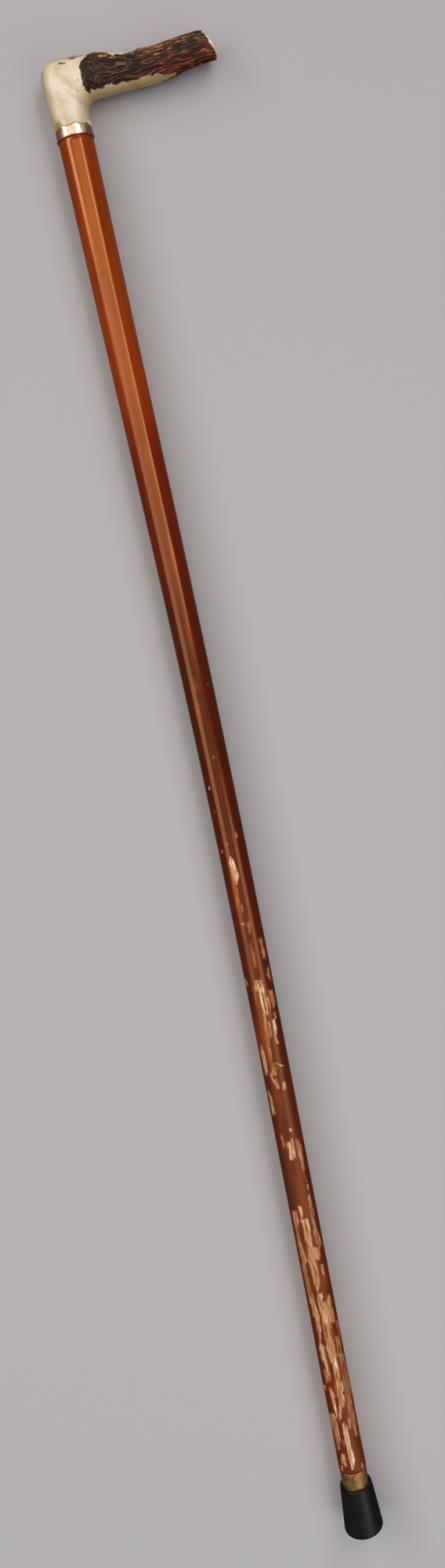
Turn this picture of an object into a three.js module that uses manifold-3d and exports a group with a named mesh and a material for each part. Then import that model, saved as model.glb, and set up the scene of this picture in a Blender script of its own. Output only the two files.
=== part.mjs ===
// Walking stick: a stag antler handle on a bowed malacca shaft, with a crown-cut gold collar
// over the joint and a rubber tip pushed over the brass ferrule.
// Millimetres. +Z runs up the shaft, +X points to the nose of the handle, and the origin is
// the middle of the foot's face.
import * as THREE from "three";
import { mergeVertices } from "three/addons/utils/BufferGeometryUtils.js";
import Module from "manifold-3d";

const wasm = await Module();
wasm.setup();

const degree = Math.PI / 180;

// Clearances and cutting
const seatGap = 0.3; // between a piece and what it seats in or on
const cutOverrun = 2; // how far a cutter runs past the face it opens
const roundSides = 40; // facets round every turned piece
const smallSides = 18; // and round the stud and the pins
const weldDistance = 0.001;

// Cane line: straight up from the ferrule, bowed above the middle, then straight to the collar
const stickReach = 850; // foot face to the collar's lower edge, along the line
const footStraight = 289;
const headStraight = 226;
const bendRadius = 10460;

// Malacca shaft, thickest at the collar
const shaftTopDiameter = 21.2;
const shaftUpperDiameter = 19.1;
const shaftMiddleDiameter = 17.25;
const shaftLowerDiameter = 16.5;
const shaftFootDiameter = 16.3;
const shaftRingPitch = 40;
const shaftEdge = 0.25; // broken edge at each shoulder
const ridgeHeight = 0.55; // the natural rib of the cane
const ridgeLength = 430; // from the collar down to where the rib has died away
const ridgeBearing = -75 * degree; // from +X round to the rib
const ridgeHalfWidth = 32 * degree;

// Rubber tip
const tipHeight = 27.5;
const tipFootDiameter = 23.2;
const tipMouthDiameter = 19.4;
const tipFloor = 6;
const tipFootRound = 1.8;
const tipBulgeHeight = 2.4; // height of the widest ring over the foot
const tipLip = 0.7; // rounding of the rim
const tipFlareDepth = 2.4; // the mouth opens towards the rim
const tipFlareWidth = 0.5;
const treadDepth = 1.2;
const treadGroove = 1.5;
const treadPad = 3.4; // radius of the middle pad
const treadRing = 1.6;

// Steel washer at the bottom of the tip's socket
const washerThickness = 1.5;
const washerDiameter = 13.4;
const washerHole = 5;

// Brass ferrule with its iron end plug and two pins
const ferruleHeight = 26;
const ferruleTopDiameter = 16;
const ferruleFootDiameter = 15;
const ferruleWall = 0.7;
const plugHeadHeight = 3;
const plugHeadDiameter = 14.2;
const plugDome = 0.9;
const plugShankHeight = 6;
const pinDiameter = 1.6;
const pinLength = 4.2;
const pinHeight = 12.5; // above the ferrule's lower edge
const pinSink = 0.15; // how far a pin is filed below the brass

// Gold collar
const collarHeight = 7.1;
const collarInnerDiameter = 21.3;
const collarWall = 0.4;
const collarBead = 0.4; // rolled lower edge
const crownPoints = 8;
const crownDepth = 1.1;
const crownTurn = 10 * degree; // one point stands this far round from the front
const jointHeight = 4; // wood meets antler inside the collar

// Steel stud glued into the handle and the shaft
const studDiameter = 6;
const studInShaft = 38;
const studInHandle = 22;
const studBevel = 0.8;
const studGroove = 0.5;
const studGroovePitch = 7.5;

// Antler handle, seen from the front with the collar's lower edge at height 0
const handleRise = 49.3; // up to the top of the heel
const gripReach = 94; // from the cane line to the nose
const gripThickness = 22; // front to back
const neckProud = 0.1; // the neck stands this far out from the collar
const neckUndercut = 1.6; // depth below the crown's dips to which the neck keeps its full width
const noseDome = 2.1; // how far the cut end swells
const noseSteps = 4;
const handleSides = 68;
const stationsPerSpan = 2;
const barkStand = 0.55; // the bark stands over the polished horn
const furrowDepth = 0.8;
const furrows = 12;
const furrowWaves = 3.8; // times a furrow wanders to and fro between neck and nose
const furrowWander = 0.2; // how far, in furrow widths
const gripSquareness = 2.25; // exponent of the superellipse: 2 is an ellipse
const roundNeckShare = 0.3; // of the way along, where the section has its full squareness

// Outline pairs up the neck, round the heel and along the grip. Each row gives the back of
// the handle, across and up, then the belly, across and up, then the thickness: across in
// shares of gripReach, up in shares of handleRise, thickness in shares of gripThickness.
const outlineShares = [
  [-0.12, 0.2, 0.118, 0.2, 1.01],
  [-0.121, 0.284, 0.118, 0.27, 1.01],
  [-0.126, 0.46, 0.124, 0.316, 1.02],
  [-0.13, 0.628, 0.131, 0.357, 1.03],
  [-0.133, 0.77, 0.138, 0.385, 1.04],
  [-0.122, 0.868, 0.145, 0.406, 1.04],
  [-0.095, 0.94, 0.154, 0.424, 1.03],
  [-0.047, 0.984, 0.166, 0.436, 1.02],
  [0.02, 0.997, 0.182, 0.446, 1.01],
  [0.1, 0.99, 0.205, 0.454, 1],
  [0.19, 0.975, 0.245, 0.46, 0.98],
  [0.3, 0.952, 0.32, 0.464, 0.95],
  [0.4, 0.917, 0.405, 0.474, 0.93],
  [0.483, 0.893, 0.485, 0.47, 0.91],
  [0.564, 0.893, 0.573, 0.483, 0.89],
  [0.645, 0.905, 0.66, 0.511, 0.87],
  [0.725, 0.923, 0.745, 0.546, 0.85],
  [0.805, 0.937, 0.836, 0.584, 0.83],
  [0.872, 0.951, 0.918, 0.604, 0.8],
  [0.928, 0.952, 0.999, 0.617, 0.77],
];
const barkStartShare = 0.43; // of the way along the outline pairs, on the front
const barkTopStartShare = 0.56; // and along the top of the grip
const barkFadeShare = 0.03;
const bellyBare = 44 * degree; // half the bare strip under the grip
const bellyFade = 10 * degree;

// Materials
const antlerLook = new THREE.MeshStandardMaterial({ color: 0xd9c39a, roughness: 0.45, metalness: 0 });
const goldLook = new THREE.MeshStandardMaterial({ color: 0xd9a05b, roughness: 0.25, metalness: 1 });
const malaccaLook = new THREE.MeshStandardMaterial({ color: 0x7a3410, roughness: 0.25, metalness: 0 });
const brassLook = new THREE.MeshStandardMaterial({ color: 0x8a6a3a, roughness: 0.5, metalness: 1 });
const steelLook = new THREE.MeshStandardMaterial({ color: 0x8b8d90, roughness: 0.45, metalness: 1 });
const ironLook = new THREE.MeshStandardMaterial({ color: 0x55524f, roughness: 0.6, metalness: 1 });
const rubberLook = new THREE.MeshStandardMaterial({ color: 0x1b1c1d, roughness: 0.7, metalness: 0 });

// Solids and geometry
function solidOf(geometry) {
  const loose = geometry.index ? geometry.toNonIndexed() : geometry;
  const bare = new THREE.BufferGeometry().setAttribute("position", loose.getAttribute("position"));
  const merged = mergeVertices(bare, weldDistance);
  return new wasm.Manifold(
    new wasm.Mesh({
      numProp: 3,
      vertProperties: merged.getAttribute("position").array,
      triVerts: new Uint32Array(merged.index.array),
    }),
  );
}

function geometryOf(solid) {
  const mesh = solid.getMesh();
  const made = new THREE.BufferGeometry();
  made.setAttribute("position", new THREE.BufferAttribute(new Float32Array(mesh.vertProperties), 3));
  made.setIndex(new THREE.BufferAttribute(new Uint32Array(mesh.triVerts), 1));
  made.computeVertexNormals();
  return made;
}

// A profile of [radius, height] points turned about Z. It runs up the outside.
function turned(profile, sides = roundSides) {
  const points = profile.map(([radius, height]) => new THREE.Vector2(radius, height));
  return new THREE.LatheGeometry(points, sides).rotateX(Math.PI / 2);
}

function turnedRing(profile) {
  return turned([...profile, profile[0]]);
}

function rod(radius, low, high) {
  const height = high - low;
  const made = new THREE.CylinderGeometry(radius, radius, height, smallSides);
  return made.rotateX(Math.PI / 2).translate(0, 0, low + height / 2);
}

// Points of a round corner, from one angle to another, about [radius, height].
function corner(radius, height, round, from, to, steps = 5) {
  return Array.from({ length: steps + 1 }, (_, i) => {
    const angle = from + ((to - from) * i) / steps;
    return [radius + round * Math.cos(angle), height + round * Math.sin(angle)];
  });
}

// Skins a row of rings, each a list of as many points, and closes both ends on a middle point.
function loft(rings) {
  const sides = rings[0].length;
  const middle = (ring) => ring.reduce((sum, p) => sum.add(p), new THREE.Vector3()).divideScalar(sides);
  const points = [...rings.flat(), middle(rings[0]), middle(rings[rings.length - 1])];
  const lowest = rings.length * sides;
  const faces = [];
  for (let side = 0; side < sides; side++) {
    const next = (side + 1) % sides;
    for (let row = 0; row + 1 < rings.length; row++) {
      const a = row * sides + side;
      const b = row * sides + next;
      faces.push(a, b, b + sides, a, b + sides, a + sides);
    }
    const top = (rings.length - 1) * sides;
    faces.push(lowest, next, side, lowest + 1, top + side, top + next);
  }
  const made = new THREE.BufferGeometry().setFromPoints(points);
  made.setIndex(faces);
  return made;
}

// Cane line
const bowStart = footStraight;
const bowEnd = stickReach - headStraight;
const bowAngle = (bowEnd - bowStart) / bendRadius;

// Where the line has come to after a length from the foot, and which way it then runs.
function caneAt(length) {
  const angle = (THREE.MathUtils.clamp(length, bowStart, bowEnd) - bowStart) / bendRadius;
  const along = new THREE.Vector3(-Math.sin(angle), 0, Math.cos(angle));
  const across = new THREE.Vector3(Math.cos(angle), 0, Math.sin(angle));
  const place = new THREE.Vector3(-bendRadius * (1 - Math.cos(angle)), 0, bendRadius * Math.sin(angle));
  place.z += bowStart;
  const straight = length < bowStart ? length - bowStart : Math.max(0, length - bowEnd);
  return { place: place.addScaledVector(along, straight), along, across };
}

// Heights of the foot's stack, from the rubber floor upwards
const washerBottom = tipFloor + seatGap;
const plugBottom = washerBottom + washerThickness + seatGap;
const plugShoulder = plugBottom + plugHeadHeight;
const ferruleBottom = plugShoulder + seatGap;
const ferruleTop = ferruleBottom + ferruleHeight;
const plugTop = plugShoulder + plugShankHeight;
const tenonBottom = plugTop + seatGap;
const shaftBottom = ferruleTop + seatGap;

function ferruleOuter(height) {
  const share = (height - ferruleBottom) / ferruleHeight;
  return THREE.MathUtils.lerp(ferruleFootDiameter, ferruleTopDiameter, share) / 2;
}

function ferruleInner(height) {
  return ferruleOuter(height) - ferruleWall;
}

// Rubber tip: a cap with a treaded foot, flared below and open at a rounded mouth
function rubberTip() {
  const footRadius = tipFootDiameter / 2;
  const mouthRadius = tipMouthDiameter / 2;
  const boreAt = (height) => ferruleOuter(Math.max(height, ferruleBottom)) + seatGap;
  const flareStart = tipHeight - tipFlareDepth;
  const grooveStarts = [treadPad, treadPad + treadGroove + treadRing];
  const foot = grooveStarts.flatMap((start) => [
    [start, 0],
    [start, treadDepth],
    [start + treadGroove, treadDepth],
    [start + treadGroove, 0],
  ]);
  return turned([
    [0, 0],
    ...foot,
    ...corner(footRadius - tipFootRound, tipFootRound, tipFootRound, -Math.PI / 2, 0),
    [footRadius, tipBulgeHeight],
    ...corner(mouthRadius - tipLip, tipHeight - tipLip, tipLip, 0, Math.PI / 2),
    [boreAt(tipHeight) + tipFlareWidth, tipHeight],
    [boreAt(flareStart), flareStart],
    [boreAt(ferruleBottom), ferruleBottom],
    [boreAt(ferruleBottom), tipFloor],
    [0, tipFloor],
  ]);
}

function tipWasher() {
  const top = washerBottom + washerThickness;
  return turnedRing([
    [washerHole / 2, washerBottom],
    [washerDiameter / 2, washerBottom],
    [washerDiameter / 2, top],
    [washerHole / 2, top],
  ]);
}

// Iron plug: a worn, domed head under the brass and a shank inside it
function ironPlug() {
  const headRadius = plugHeadDiameter / 2;
  const shankRadius = ferruleInner(ferruleBottom) - seatGap;
  return turned([
    [0, plugBottom],
    [headRadius - plugDome, plugBottom],
    ...corner(headRadius - plugDome, plugBottom + plugDome, plugDome, -Math.PI / 2, 0),
    [headRadius, plugShoulder],
    [shankRadius, plugShoulder],
    [shankRadius, plugTop],
    [0, plugTop],
  ]);
}

// A pin's axis lies along X, at its height in the brass, on the side that sign gives. Its
// hole is the same shape, wider by the clearance, deeper by it and open to the outside.
function pinAt(sign, clearance = 0, overrun = 0) {
  const height = ferruleBottom + pinHeight;
  const outer = ferruleOuter(height) - pinSink + overrun;
  const inner = ferruleOuter(height) - pinSink - pinLength - clearance;
  const radius = pinDiameter / 2 + clearance;
  const made = new THREE.CylinderGeometry(radius, radius, outer - inner, smallSides);
  return made.rotateZ(Math.PI / 2).translate((sign * (outer + inner)) / 2, 0, height);
}

const pinHoles = [-1, 1].map((sign) => solidOf(pinAt(sign, seatGap, cutOverrun)));

function brassFerrule() {
  const tube = turnedRing([
    [ferruleInner(ferruleBottom), ferruleBottom],
    [ferruleOuter(ferruleBottom), ferruleBottom],
    [ferruleOuter(ferruleTop), ferruleTop],
    [ferruleInner(ferruleTop), ferruleTop],
  ]);
  return geometryOf(pinHoles.reduce((solid, hole) => solid.subtract(hole), solidOf(tube)));
}

// Collar sizes that the joint pieces share
const collarInner = collarInnerDiameter / 2;
const collarOuter = collarInner + collarWall;
const spigotRadius = collarInner - seatGap;

// Malacca shaft: a tapering, slightly bowed cane with a rib down its upper part, a tenon
// turned for the ferrule and a spigot turned for the collar
const shaftTop = stickReach - seatGap;
const spigotTop = stickReach + jointHeight;

const shaftTaper = new THREE.SplineCurve(
  [shaftFootDiameter, shaftLowerDiameter, shaftMiddleDiameter, shaftUpperDiameter, shaftTopDiameter].map(
    (diameter, i, all) => new THREE.Vector2(i / (all.length - 1), diameter),
  ),
);

function shaftRadius(length) {
  const share = (length - shaftBottom) / (shaftTop - shaftBottom);
  return shaftTaper.getPoint(THREE.MathUtils.clamp(share, 0, 1)).y / 2;
}

function shaftRing(length, radius, ribbed) {
  const { place, across } = caneAt(length);
  const fade = THREE.MathUtils.smoothstep(length, stickReach - ridgeLength, stickReach);
  return Array.from({ length: roundSides }, (_, i) => {
    const offset = (i / roundSides) * 2 * Math.PI;
    const from = Math.min(offset, 2 * Math.PI - offset);
    const share = Math.max(0, 1 - from / ridgeHalfWidth);
    const reach = radius + (ribbed ? ridgeHeight * fade * share ** 2 : 0);
    const bearing = ridgeBearing + offset;
    const point = place.clone().addScaledVector(across, reach * Math.cos(bearing));
    point.y += reach * Math.sin(bearing);
    return point;
  });
}

function malaccaShaft() {
  const spans = Math.round((shaftTop - shaftBottom) / shaftRingPitch);
  const lowest = shaftBottom + shaftEdge;
  const highest = shaftTop - shaftEdge;
  const body = Array.from({ length: spans + 1 }, (_, i) => {
    const length = THREE.MathUtils.lerp(lowest, highest, i / spans);
    return shaftRing(length, shaftRadius(length), true);
  });
  const tenonFoot = ferruleInner(tenonBottom) - seatGap;
  const tenonHead = ferruleInner(ferruleTop) - seatGap;
  const cane = solidOf(
    loft([
      shaftRing(tenonBottom, tenonFoot, false),
      shaftRing(shaftBottom, tenonHead, false),
      shaftRing(shaftBottom, shaftRadius(shaftBottom) - shaftEdge, false),
      ...body,
      shaftRing(shaftTop, spigotRadius, false),
      shaftRing(spigotTop - shaftEdge, spigotRadius, false),
      shaftRing(spigotTop, spigotRadius - shaftEdge, false),
    ]),
  );
  const studHole = rod(studDiameter / 2 + seatGap, -studInShaft - seatGap, jointHeight + cutOverrun);
  studHole.applyMatrix4(headGroup.matrix);
  const drilled = cane.subtract(solidOf(studHole));
  return geometryOf(pinHoles.reduce((solid, hole) => solid.subtract(hole), drilled));
}

// Takes the round dips between the crown's points out of a ring, at a height above the
// collar's lower edge.
function crowned(ring, height) {
  const halfPitch = (Math.PI * collarOuter) / crownPoints;
  const dipRadius = (halfPitch ** 2 + crownDepth ** 2) / (2 * crownDepth);
  const reach = collarOuter + cutOverrun;
  let crown = solidOf(ring);
  for (let point = 0; point < crownPoints; point++) {
    const bearing = crownTurn - Math.PI / 2 + ((point + 1 / 2) / crownPoints) * 2 * Math.PI;
    const dip = new THREE.CylinderGeometry(dipRadius, dipRadius, reach, roundSides * 2);
    dip.rotateZ(Math.PI / 2).translate(reach / 2, 0, height - crownDepth + dipRadius);
    crown = crown.subtract(solidOf(dip.rotateZ(bearing)));
  }
  return crown;
}

// Gold collar: a thin shell with a rolled lower edge and a crown of points
function goldCollar() {
  const shell = turnedRing([
    [collarInner, 0],
    ...corner(collarOuter, collarBead, collarBead, -Math.PI / 2, Math.PI / 2),
    [collarOuter, collarHeight],
    [collarInner, collarHeight],
  ]);
  return geometryOf(crowned(shell, collarHeight));
}

function handleStud() {
  const radius = studDiameter / 2;
  const low = -studInShaft;
  const high = studInHandle;
  const count = Math.floor((high - low - studGroovePitch) / studGroovePitch);
  const grooves = Array.from({ length: count }, (_, i) => {
    const height = low + studGroovePitch * (i + 1);
    return [
      [radius, height - studGroove],
      [radius - studGroove, height],
      [radius, height + studGroove],
    ];
  });
  return turned([
    [0, low],
    [radius - studBevel, low],
    [radius, low + studBevel],
    ...grooves.flat(),
    [radius, high - studBevel],
    [radius - studBevel, high],
    [0, high],
  ], smallSides);
}

// Antler handle: a loft between the back and the belly of its outline
const outlineRows = outlineShares.map(([backAcross, backUp, bellyAcross, bellyUp, thick]) => ({
  back: new THREE.Vector3(backAcross * gripReach, 0, backUp * handleRise),
  belly: new THREE.Vector3(bellyAcross * gripReach, 0, bellyUp * handleRise),
  thick: (thick * gripThickness) / 2,
}));
const backLine = new THREE.CatmullRomCurve3(outlineRows.map((row) => row.back));
const bellyLine = new THREE.CatmullRomCurve3(outlineRows.map((row) => row.belly));
const thickLine = new THREE.SplineCurve(
  outlineRows.map((row, i) => new THREE.Vector2(i / (outlineRows.length - 1), row.thick)),
);

// How much of the bark there is at a share of the way along and at an angle from the belly.
function barkAt(share, angle) {
  const fromBelly = Math.min(angle, 2 * Math.PI - angle);
  const toTop = THREE.MathUtils.smoothstep(fromBelly, Math.PI / 2, Math.PI);
  const start = THREE.MathUtils.lerp(barkStartShare, barkTopStartShare, toTop);
  const along = THREE.MathUtils.smoothstep(share, start, start + barkFadeShare);
  return along * THREE.MathUtils.smoothstep(fromBelly, bellyBare, bellyBare + bellyFade);
}

function power(value, exponent) {
  return Math.sign(value) * Math.abs(value) ** exponent;
}

// A section of the handle at a share of the way from the neck to the nose, drawn in to a
// part of its size.
function handleRing(share, size = 1) {
  const back = backLine.getPoint(share);
  const belly = bellyLine.getPoint(share);
  const middle = back.clone().add(belly).divideScalar(2);
  const outwards = back.clone().sub(belly).divideScalar(2);
  const deep = outwards.length();
  outwards.normalize();
  const thick = thickLine.getPoint(share).y;
  const squared = THREE.MathUtils.smoothstep(share, 0, roundNeckShare);
  const square = THREE.MathUtils.lerp(2, gripSquareness, squared);
  return Array.from({ length: handleSides }, (_, i) => {
    const angle = (i / handleSides) * 2 * Math.PI;
    const wander = furrowWander * Math.sin(furrowWaves * 2 * Math.PI * share);
    const furrow = (1 - Math.cos(furrows * angle + wander * 2 * Math.PI)) / 2;
    const bark = barkAt(share, angle) * (barkStand - furrowDepth * furrow ** 3);
    const up = (deep + bark) * size * power(Math.cos(angle), 2 / square);
    const point = middle.clone().addScaledVector(outwards, -up);
    point.y = (thick + bark) * size * power(Math.sin(angle), 2 / square);
    return point;
  });
}

function neckRing(height, radius) {
  return Array.from({ length: handleSides }, (_, i) => {
    const angle = (i / handleSides) * 2 * Math.PI;
    return new THREE.Vector3(radius * Math.cos(angle), radius * Math.sin(angle), height);
  });
}

// The cut end of the nose, swelling in rings that follow a quarter of an ellipse.
function noseRings() {
  const acrossCut = backLine.getPoint(1).sub(bellyLine.getPoint(1));
  const outOfCut = new THREE.Vector3(0, 1, 0).cross(acrossCut).normalize();
  return Array.from({ length: noseSteps }, (_, i) => {
    const angle = ((i + 1) / (noseSteps + 1)) * (Math.PI / 2);
    const ring = handleRing(1, Math.cos(angle));
    ring.forEach((point) => point.addScaledVector(outOfCut, noseDome * Math.sin(angle)));
    return ring;
  });
}

// The neck is cut to the crown's outline, with a spigot inside the collar and a hole for the stud
function antlerHandle() {
  const steps = (outlineRows.length - 1) * stationsPerSpan;
  const body = Array.from({ length: steps + 1 }, (_, i) => handleRing(i / steps));
  const neckFoot = jointHeight + seatGap;
  const neckRadius = collarOuter + neckProud;
  const horn = loft([
    neckRing(neckFoot, neckRadius),
    neckRing(collarHeight - crownDepth + neckUndercut, neckRadius),
    ...body,
    ...noseRings(),
  ]);
  const wide = neckRadius + cutOverrun;
  const seat = turnedRing([
    [spigotRadius, neckFoot - cutOverrun],
    [wide, neckFoot - cutOverrun],
    [wide, collarHeight + seatGap],
    [spigotRadius, collarHeight + seatGap],
  ]);
  const studHole = solidOf(rod(studDiameter / 2 + seatGap, -cutOverrun, studInHandle + seatGap));
  return geometryOf(solidOf(horn).subtract(crowned(seat, collarHeight + seatGap)).subtract(studHole));
}

// The collar, stud and handle share a group at the collar's lower edge, leaning with the cane
const head = caneAt(stickReach);
const headGroup = new THREE.Group();
headGroup.position.copy(head.place);
headGroup.rotation.y = -bowAngle;
headGroup.updateMatrix();

function piece(name, geometry, look) {
  const mesh = new THREE.Mesh(geometry, look);
  mesh.name = name;
  return mesh;
}

headGroup.add(
  piece("antler_handle", antlerHandle(), antlerLook),
  piece("gold_collar", goldCollar(), goldLook),
  piece("handle_stud", handleStud(), steelLook),
);

const stick = new THREE.Group();
stick.add(
  headGroup,
  piece("malacca_shaft", malaccaShaft(), malaccaLook),
  piece("brass_ferrule", brassFerrule(), brassLook),
  piece("iron_end_plug", ironPlug(), ironLook),
  piece("ferrule_pin_left", pinAt(-1), brassLook),
  piece("ferrule_pin_right", pinAt(1), brassLook),
  piece("rubber_tip", rubberTip(), rubberLook),
  piece("tip_washer", tipWasher(), steelLook),
);

export default stick;
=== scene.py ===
import math
from functools import partial

import bpy
import numpy as np
from mathutils import Matrix, Vector


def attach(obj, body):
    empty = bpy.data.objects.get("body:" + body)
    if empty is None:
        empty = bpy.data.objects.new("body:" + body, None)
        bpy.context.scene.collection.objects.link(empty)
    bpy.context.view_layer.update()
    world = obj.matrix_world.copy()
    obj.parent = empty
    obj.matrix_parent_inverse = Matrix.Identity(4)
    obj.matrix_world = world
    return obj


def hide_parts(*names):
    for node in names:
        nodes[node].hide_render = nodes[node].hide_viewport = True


# Walking stick: antler handle, crown-cut collar, lacquered malacca shaft, brass ferrule and
# rubber tip. Shapes are worked out in millimetres and put into the meshes in metres.
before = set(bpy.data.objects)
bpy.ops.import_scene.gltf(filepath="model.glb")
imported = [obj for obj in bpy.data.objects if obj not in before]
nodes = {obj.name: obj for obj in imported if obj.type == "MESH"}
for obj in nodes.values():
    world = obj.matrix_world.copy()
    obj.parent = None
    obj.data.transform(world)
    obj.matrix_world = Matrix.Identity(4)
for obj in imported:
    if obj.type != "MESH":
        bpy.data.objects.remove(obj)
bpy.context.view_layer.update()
mm = 0.001
print("frame loaded:", ", ".join(sorted(nodes)))


# one sRGB hex colour, turned to linear
def hexColour(code):
    parts = [int(code[i : i + 2], 16) / 255 for i in (1, 3, 5)]
    return tuple(c / 12.92 if c <= 0.04045 else ((c + 0.055) / 1.055) ** 2.4 for c in parts) + (1.0,)


def addObject(name, data):
    made = bpy.data.objects.new(name, data)
    bpy.context.scene.collection.objects.link(made)
    return made


# One node of a material. Where a setting is an output of another node, or a node, which stands
# for its first output, it is linked. Other settings go to the node's property or socket.
def addNode(tree, kind, settings=None):
    node = tree.nodes.new("ShaderNode" + kind)
    for key, value in (settings or {}).items():
        source = getattr(value, "outputs", [value])[0]
        if isinstance(source, bpy.types.NodeSocket):
            tree.links.new(source, node.inputs[key])
        elif key == "stops":
            stops = node.color_ramp.elements
            while len(stops) < len(value):
                stops.new(0.5)
            for stop, (position, code) in zip(stops, value):
                stop.position, stop.color = position, hexColour(code)
        elif isinstance(key, str) and hasattr(node, key):
            setattr(node, key, value)
        else:
            node.inputs[key].default_value = hexColour(value) if isinstance(value, str) else value
    return node


# an empty material, and addNode for its tree
def newMaterial(name):
    material = bpy.data.materials.new(name)
    material.use_nodes = True
    material.node_tree.nodes.clear()
    return material, partial(addNode, material.node_tree)


def finishMaterial(material, settings):
    shader = addNode(material.node_tree, "BsdfPrincipled", settings)
    addNode(material.node_tree, "OutputMaterial", {"Surface": shader})
    return material


# A metal whose tint and roughness change over soft patches, whose size is in mm
def metalMaterial(name, patchSize, detail, tints, roughness, bump=0.0):
    material, add = newMaterial(name)
    place = add("TexCoord").outputs["Object"]
    patches = add("TexNoise", {"Scale": 1 / (patchSize * mm), "Detail": detail, "Vector": place})
    dulled = {"To Min": roughness[0], "To Max": roughness[1], "Value": patches}
    settings = {
        "Base Color": add("ValToRGB", {0: patches, "stops": tints}),
        "Metallic": 1.0,
        "Roughness": add("MapRange", dulled),
    }
    if bump:
        settings["Normal"] = add("Bump", {"Strength": bump, "Distance": 0.0002, "Height": patches})
    return finishMaterial(material, settings)


# smooth step from 0 at low to 1 at high
def smooth(value, low, high):
    part = np.clip((value - low) / (high - low), 0, 1)
    return part * part * (3 - 2 * part)


# Value noise: a seeded 3-D table of random numbers, blended smoothly between the eight
# table entries round each point. cell is the size of one table step in mm, along each axis.
def latticeNoise(points, cell, seed):
    table = np.random.default_rng(seed).random((32, 32, 32))
    place = points / np.array(cell, float)
    base = np.floor(place).astype(int)
    part = smooth(place - base, 0, 1)
    total = 0
    for corner in np.ndindex(2, 2, 2):
        weight = np.prod(np.where(corner, part, 1 - part), axis=-1)
        spot = (base + corner) % 32
        total = total + weight * table[spot[..., 0], spot[..., 1], spot[..., 2]]
    return total


# layers of that noise, each half as large and half as strong as the one before
def layeredNoise(points, cell, seed, layers):
    total = sum(latticeNoise(points, np.array(cell) / 2**i, seed + i) / 2**i for i in range(layers))
    return total / sum(1 / 2**i for i in range(layers))


# Catmull-Rom curve through evenly spaced points: a cubic between each two, whose slope at a
# point is half the step between its neighbours. share runs from 0 to 1.
def curveThrough(points, share):
    points = np.array(points, float)
    padded = np.vstack([2 * points[0] - points[1], points, 2 * points[-1] - points[-2]])
    place = np.clip(np.asarray(share) * (len(points) - 1), 0, len(points) - 1 - 1e-9)
    first = place.astype(int)
    t = (place - first)[..., None]
    a, b, c, d = (padded[first + i] for i in range(4))
    rising = (2 * a - 5 * b + 4 * c - d) * t**2
    return 0.5 * (2 * b + (c - a) * t + rising + (3 * b - a - 3 * c + d) * t**3)


# the angles of a ring's sides
def around(sides):
    return np.linspace(0, 2 * np.pi, sides, endpoint=False)


# A round grid of rows of radius and height, each one number or a number for every side
def turned(rows, sides):
    cosine, sine = np.cos(around(sides)), np.sin(around(sides))
    return np.array([np.stack([r * cosine, r * sine, h + 0 * cosine], -1) for r, h in rows])


# A grid of points, rows by sides by 3 in mm, made one mesh closed round its sides. The row
# ends close on a middle point, or on each other where the profile is a ring. Each field, a
# number or a vector at each grid point, becomes an attribute.
def gridMesh(name, grid, fields=None, ring=False):
    rows, sides = grid.shape[:2]
    index = np.arange(rows * sides).reshape(rows, sides)
    low = index if ring else index[:-1]
    high = np.roll(index, -1, axis=0) if ring else index[1:]
    quads = np.stack([low, np.roll(low, -1, 1), np.roll(high, -1, 1), high], -1)
    faces = quads.reshape(-1, 4).tolist()
    vertices = [grid.reshape(-1, 3)]
    endRows = () if ring else (0, -1)
    for row in endRows:
        pole = np.full(sides, rows * sides + len(vertices) - 1)
        edge, nextEdge = index[row], np.roll(index[row], -1)
        fan = [pole, edge, nextEdge] if row else [pole, nextEdge, edge]
        faces += np.stack(fan, -1).tolist()
        vertices.append(grid[row].mean(0)[None])
    mesh = bpy.data.meshes.new(name)
    mesh.from_pydata(np.concatenate(vertices) * mm, [], faces)
    mesh.shade_smooth()
    for title, field in (fields or {}).items():
        poles = [field[row].reshape(sides, -1).mean(0)[None] for row in endRows]
        values = np.concatenate([field.reshape(rows * sides, -1)] + poles).astype(np.float32)
        kind = "FLOAT" if values.shape[1] == 1 else "FLOAT_VECTOR"
        attribute = mesh.attributes.new(title, kind, "POINT")
        attribute.data.foreach_set("value" if kind == "FLOAT" else "vector", values.ravel())
    mesh.validate()
    return addObject(name, mesh)


# The cane's own line: straight through the ferrule, an arc, then straight under the collar
stickLine = {"reach": 850.0, "footStraight": 289.0, "headStraight": 226.0, "bendRadius": 10460.0}


# middle of the cane, and its directions across and along, at each length from the foot
def lineAt(length):
    length = np.asarray(length, float)
    bowStart = stickLine["footStraight"]
    bowEnd = stickLine["reach"] - stickLine["headStraight"]
    radius = stickLine["bendRadius"]
    bent = np.clip(length, bowStart, bowEnd)
    angle = (bent - bowStart) / radius
    zero = np.zeros_like(angle)
    along = np.stack([-np.sin(angle), zero, np.cos(angle)], -1)
    across = np.stack([np.cos(angle), zero, np.sin(angle)], -1)
    start = np.where(length < bowStart, length, bowStart)
    middle = np.stack([-radius * (1 - np.cos(angle)), zero, start + radius * np.sin(angle)], -1)
    middle = middle + along * np.maximum(length - bowEnd, 0)[..., None]
    return middle, across, along


headPlace, headAcross, headAlong = lineAt(stickLine["reach"])


# Points of the head, given from the collar's lower edge as across, back and up, put on the stick
def onHead(points):
    back = np.array([0.0, 1.0, 0.0])
    across, behind, up = points[..., :1], points[..., 1:2], points[..., 2:]
    return headPlace + across * headAcross + behind * back + up * headAlong


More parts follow.
